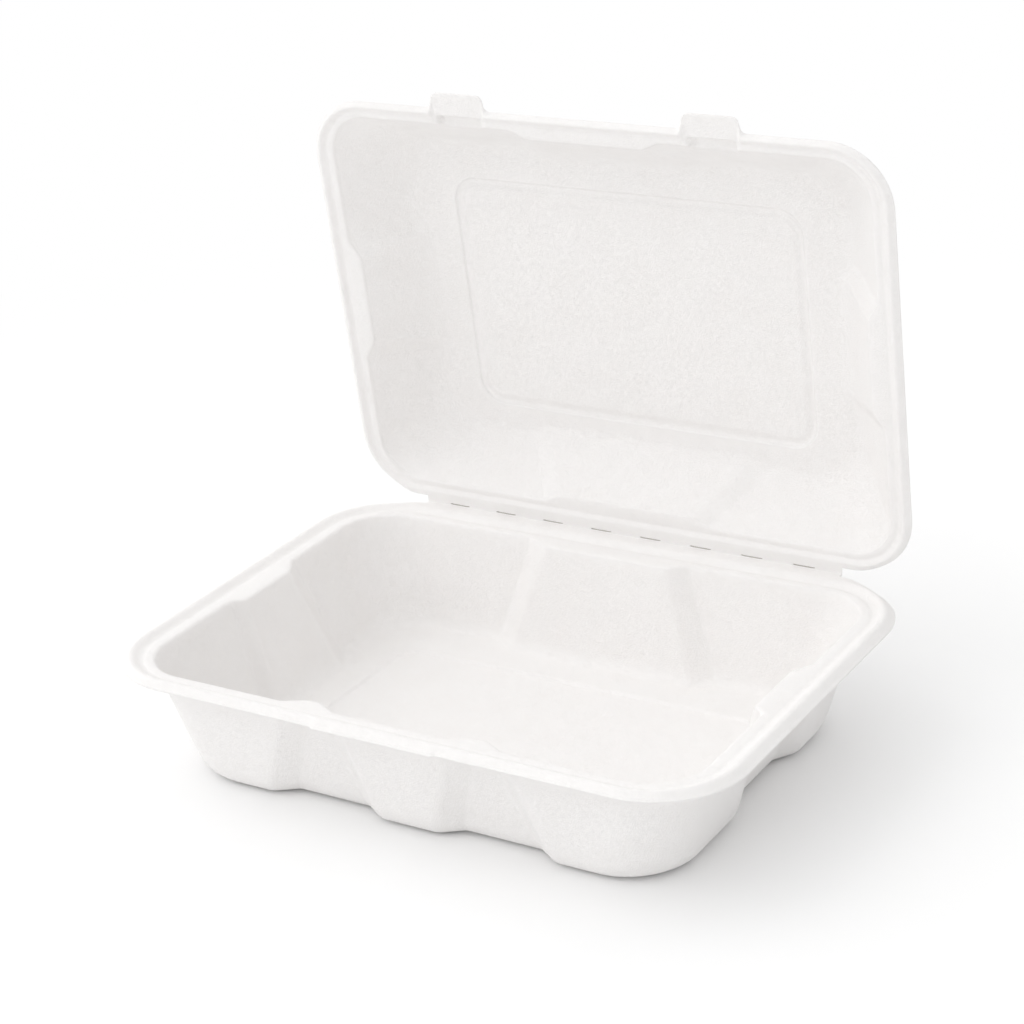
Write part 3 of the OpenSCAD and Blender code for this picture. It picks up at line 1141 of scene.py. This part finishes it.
def new_group(name: GroupName, inputs: dict[str, float],
              outputs: tuple[str, ...]) -> tuple[Board, dict, dict]:
    """Makes a shader group with number inputs, a vector and number outputs.

    Args:
        name: Name of the group.
        inputs: Number inputs with their defaults.
        outputs: Names of the number outputs.

    Returns:
        The board, the inputs' sockets and the outputs' sockets, by name.
    """
    tree = bpy.data.node_groups.new(name.value, "ShaderNodeTree")
    tree.interface.new_socket("Place", in_out="INPUT", socket_type="NodeSocketVector")
    for label, value in inputs.items():
        socket = tree.interface.new_socket(label, in_out="INPUT", socket_type="NodeSocketFloat")
        socket.default_value = value
    for label in outputs:
        tree.interface.new_socket(label, in_out="OUTPUT", socket_type="NodeSocketFloat")
    board = Board(tree)
    entry = tree.nodes.new("NodeGroupInput")
    leave = tree.nodes.new("NodeGroupOutput")
    return board, {s.name: s for s in entry.outputs if s.name}, {s.name: s for s in leave.inputs if s.name}


def fibre_group() -> bpy.types.NodeTree:
    """Builds the group of short pressed fibres that lie in all directions.

    Returns:
        A group that puts out the fibres and the felted grain between them.
    """
    board, given, put = new_group(GroupName.FIBRE, {"Width": 1300.0, "Stretch": 0.14, "Grain": 2600.0},
                                  ("Fibres", "Grain"))
    layers = []
    for tilt, spin in ((0.3, 0.4), (-0.5, 1.5), (0.8, 2.6), (1.2, 0.9)):
        turned = board.add("VectorRotate", {"Vector": given["Place"], "Rotation": (tilt, 0.6 * tilt, spin)},
                           rotation_type="EULER_XYZ")
        scale = board.add("CombineXYZ", {0: given["Stretch"], 1: 1.0, 2: 1.0})
        laid = board.add("VectorMath", {0: turned.outputs[0], 1: scale.outputs[0]}, operation="MULTIPLY")
        noise = board.add("TexNoise", {"Vector": laid.outputs[0], "Scale": given["Width"], "Detail": 1.5,
                                       "Roughness": 0.5, "Distortion": 0.25})
        ridge = board.math("ABSOLUTE", board.math("SUBTRACT", noise.outputs["Fac"], 0.5))
        layers.append(board.ramp(ridge, 0.0, 0.045, 1.0, 0.0))
    total = layers[0]
    for layer in layers[1:]:
        total = board.math("MAXIMUM", total, layer)
    grain = board.add("TexNoise", {"Vector": given["Place"], "Scale": given["Grain"], "Detail": 3.0,
                                   "Roughness": 0.6})
    board.tree.links.new(total, put["Fibres"])
    board.tree.links.new(grain.outputs["Fac"], put["Grain"])
    return board.tree


def blotch_group() -> bpy.types.NodeTree:
    """Builds the group of cloudy thicker and thinner places in the pulp, and rare specks.

    Returns:
        A group that puts out the clouds, the flecks and the specks.
    """
    board, given, put = new_group(GroupName.BLOTCH, {"Cloud": 70.0, "Fleck": 330.0, "Speck": 75.0},
                                  ("Clouds", "Flecks", "Specks"))
    cloud = board.add("TexNoise", {"Vector": given["Place"], "Scale": given["Cloud"], "Detail": 3.0,
                                   "Roughness": 0.55})
    fleck = board.add("TexNoise", {"Vector": given["Place"], "Scale": given["Fleck"], "Detail": 2.5,
                                   "Roughness": 0.6, "Distortion": 0.6})
    cells = board.add("TexVoronoi", {"Vector": given["Place"], "Scale": given["Speck"]})
    chosen = board.add("SeparateColor", {"Color": cells.outputs["Color"]})
    near = board.ramp(cells.outputs["Distance"], 0.008, 0.022, 1.0, 0.0)
    rare = board.math("GREATER_THAN", chosen.outputs[0], 0.975)
    board.tree.links.new(cloud.outputs["Fac"], put["Clouds"])
    board.tree.links.new(fleck.outputs["Fac"], put["Flecks"])
    board.tree.links.new(board.math("MULTIPLY", near, rare), put["Specks"])
    return board.tree


@dataclass(frozen=True)
class PulpFinish:
    """The matt finish of bleached, pressed plant fibre.

    Attributes:
        name: Name of the material.
        light: Colour of the thick places.
        shade: Colour of the thin places.
        speck: Colour of a dark fibre end.
        roughness: Roughness of the fibres and of the felt between them.
        relief: Depth of the fibre relief, in metres.
    """

    name: str
    light: tuple[float, float, float] = (0.965, 0.95, 0.94)
    shade: tuple[float, float, float] = (0.95, 0.931, 0.918)
    speck: tuple[float, float, float] = (0.55, 0.48, 0.4)
    roughness: tuple[float, float] = (0.72, 0.9)
    relief: float = 0.00016

    def build(self) -> bpy.types.Material:
        """Builds the material.

        Returns:
            The material.
        """
        material = bpy.data.materials.new(self.name)
        material.use_nodes = True
        board = Board(material.node_tree)
        place = board.add("TexCoord").outputs["Object"]
        fibre = board.add("Group", node_tree=bpy.data.node_groups[GroupName.FIBRE.value])
        blotch = board.add("Group", node_tree=bpy.data.node_groups[GroupName.BLOTCH.value])
        for node in (fibre, blotch):
            board.tree.links.new(place, node.inputs["Place"])
        tone = board.math("MULTIPLY_ADD", blotch.outputs["Clouds"], 0.9)
        tone.node.inputs[2].default_value = 0.05
        tone = board.math("ADD", tone, board.math("MULTIPLY", blotch.outputs["Flecks"], 0.35))
        tone = board.math("ADD", tone, board.math("MULTIPLY", fibre.outputs["Fibres"], 0.12))
        mask = board.ramp(tone, 0.35, 1.0)
        base = board.add("Mix", {"Factor": mask, "A": (*self.shade, 1.0), "B": (*self.light, 1.0)},
                         data_type="RGBA")
        dotted = board.add("Mix", {"Factor": blotch.outputs["Specks"], "A": base.outputs["Result"],
                                   "B": (*self.speck, 1.0)}, data_type="RGBA")
        rough = board.ramp(fibre.outputs["Grain"], 0.3, 0.7, *self.roughness)
        height = board.math("MULTIPLY", fibre.outputs["Fibres"], 0.3)
        height = board.math("ADD", height, board.math("MULTIPLY", fibre.outputs["Grain"], 0.5))
        height = board.math("ADD", height, board.math("MULTIPLY", blotch.outputs["Flecks"], 1.2))
        height = board.math("ADD", height, board.math("MULTIPLY", blotch.outputs["Clouds"], 1.6))
        bump = board.add("Bump", {"Height": height, "Distance": self.relief, "Strength": 1.0})
        shader = board.add("BsdfPrincipled", {
            "Base Color": dotted.outputs["Result"], "Roughness": rough, "Specular IOR Level": 0.25,
            "Sheen Weight": 0.08, "Sheen Roughness": 0.6, "Normal": bump.outputs["Normal"]})
        out = board.tree.nodes.new("ShaderNodeOutputMaterial")
        board.tree.links.new(shader.outputs[0], out.inputs["Surface"])
        return material


PULP = PulpFinish("pressed_pulp")
# Dark painted shade for the slits' cut edges: it stands in for the shadow inside each narrow slit and is not
# a colour of the pulp.
SLIT_SHADE = PulpFinish("slit_painted_shade", light=(0.55, 0.51, 0.48), shade=(0.5, 0.46, 0.43))


# Studio


@dataclass
class Studio:
    """The pale floor, the soft light and the view of the photograph.

    Attributes:
        floor_size: Width of the floor, in metres.
        eye: The camera's place, in millimetres.
        yaw: Its turn to the right of +Y, in degrees.
        pitch: Its tilt below the horizon.
        roll: Its roll.
        lens: Focal length on a 36 mm sensor.
        sun_from: Direction that the lamp shines from, and the sky's brighter side.
        sun_strength: Strength of the lamp.
        sun_width: Its angle, which softens its shadows.
        sky: Strength of the sky all round.
        sky_lean: How much brighter the sky is on the lamp's side.
    """

    floor_size: float = 8.0
    eye: tuple[float, float, float] = (417.07, -636.04, 408.48)
    yaw: float = -32.888
    pitch: float = 23.08
    roll: float = -4.216
    lens: float = 89.28
    sun_from: tuple[float, float, float] = (-0.65, -0.25, 0.75)
    sun_strength: float = 0.3
    sun_width: float = 45.0
    sky: float = 0.79
    sky_lean: float = 0.46

    def camera(self) -> None:
        """Makes the camera at the photograph's viewing angle."""
        yaw, pitch, roll = (math.radians(v) for v in (self.yaw, self.pitch, self.roll))
        ahead = Vector((math.sin(yaw) * math.cos(pitch), math.cos(yaw) * math.cos(pitch), -math.sin(pitch)))
        right = Vector((math.cos(yaw), -math.sin(yaw), 0.0))
        up = right.cross(ahead)
        tilted = right * math.cos(roll) + up * math.sin(roll)
        upright = up * math.cos(roll) - right * math.sin(roll)
        data = bpy.data.cameras.new("studio_camera")
        data.lens, data.sensor_width = self.lens, 36.0
        data.clip_start, data.clip_end = 0.01, 50.0
        eye = bpy.data.objects.new("studio_camera", data)
        turn = Matrix((tilted, upright, -ahead)).transposed()
        eye.matrix_world = Matrix.Translation(Vector(self.eye) * MM) @ turn.to_4x4()
        bpy.context.scene.collection.objects.link(eye)
        bpy.context.scene.camera = eye

    def light(self) -> None:
        """Sets a broad soft lamp at the upper left and a pale sky that is brighter on its side."""
        lamp = bpy.data.lights.new("soft_key", "SUN")
        lamp.energy, lamp.angle = self.sun_strength, math.radians(self.sun_width)
        key = bpy.data.objects.new("soft_key", lamp)
        key.rotation_euler = Vector(self.sun_from).to_track_quat("Z", "Y").to_euler()
        bpy.context.scene.collection.objects.link(key)
        world = bpy.data.worlds.new("pale_studio")
        bpy.context.scene.world = world
        world.use_nodes = True
        board = Board(world.node_tree)
        toward = board.add("VectorMath", {0: board.add("TexCoord").outputs["Generated"],
                                          1: Vector(self.sun_from).normalized()},
                           operation="DOT_PRODUCT").outputs["Value"]
        leaning = board.ramp(toward, -1.0, 1.0, self.sky - self.sky_lean, self.sky + self.sky_lean)
        leaning.node.interpolation_type = "LINEAR"
        path = board.add("LightPath")
        seen = board.math("MAXIMUM", path.outputs["Is Camera Ray"], path.outputs["Is Glossy Ray"])
        strength = board.add("Mix", {"Factor": seen, "A": leaning, "B": 1.0}).outputs["Result"]
        sky = board.add("Background", {"Color": (1.0, 1.0, 1.0, 1.0), "Strength": strength})
        out = board.tree.nodes.new("ShaderNodeOutputWorld")
        board.tree.links.new(sky.outputs[0], out.inputs["Surface"])

    def floor(self) -> None:
        """Lays the pale floor, which fades to the white backdrop away from the container."""
        half = self.floor_size / 2
        mesh = bpy.data.meshes.new("studio_floor")
        mesh.from_pydata([(-half, -half, 0), (half, -half, 0), (half, half, 0), (-half, half, 0)],
                         [], [(0, 1, 2, 3)])
        material = bpy.data.materials.new("pale_floor")
        material.use_nodes = True
        board = Board(material.node_tree)
        place = board.add("TexCoord").outputs["Object"]
        away = board.add("VectorMath", {0: place}, operation="LENGTH").outputs["Value"]
        noise = board.add("TexNoise", {"Vector": place, "Scale": 9.0, "Detail": 2.0})
        tone = board.ramp(noise.outputs["Fac"], 0.3, 0.7, 0.955, 0.965)
        paint = board.add("CombineColor", {0: tone, 1: tone, 2: tone})
        matt = board.add("BsdfPrincipled", {"Base Color": paint.outputs[0], "Roughness": 0.95,
                                            "Specular IOR Level": 0.1})
        white = board.add("Emission", {"Color": (1.0, 1.0, 1.0, 1.0), "Strength": 1.0})
        path = board.add("LightPath")
        fade = board.ramp(away, 0.16, 0.6)
        mask = board.math("MULTIPLY", fade, path.outputs["Is Camera Ray"])
        mixed = board.add("MixShader", {0: mask, 1: matt.outputs[0], 2: white.outputs[0]})
        out = board.tree.nodes.new("ShaderNodeOutputMaterial")
        board.tree.links.new(mixed.outputs[0], out.inputs["Surface"])
        new_piece("studio_floor", mesh, material)

    def build(self) -> None:
        """Builds the whole studio."""
        self.camera()
        self.light()
        self.floor()
        bpy.context.scene.view_settings.view_transform = "Standard"


def main() -> None:
    """Builds the container and its studio."""
    logging.basicConfig(level=logging.INFO, format="%(name)s: %(message)s")
    fibre_group()
    blotch_group()
    # The second material is the dark painted shade on the slits' edges.
    pulp, slit_shade = PULP.build(), SLIT_SHADE.build()
    tray = Tray()
    fold = Fold(tray)
    for piece in (tray.build(pulp), Lid().build(tray, fold, pulp), fold.build(pulp, slit_shade)):
        LOG.info("%s: %d faces", piece.name, len(piece.data.polygons))
    Studio().build()


if __name__ == "__main__":
    main()
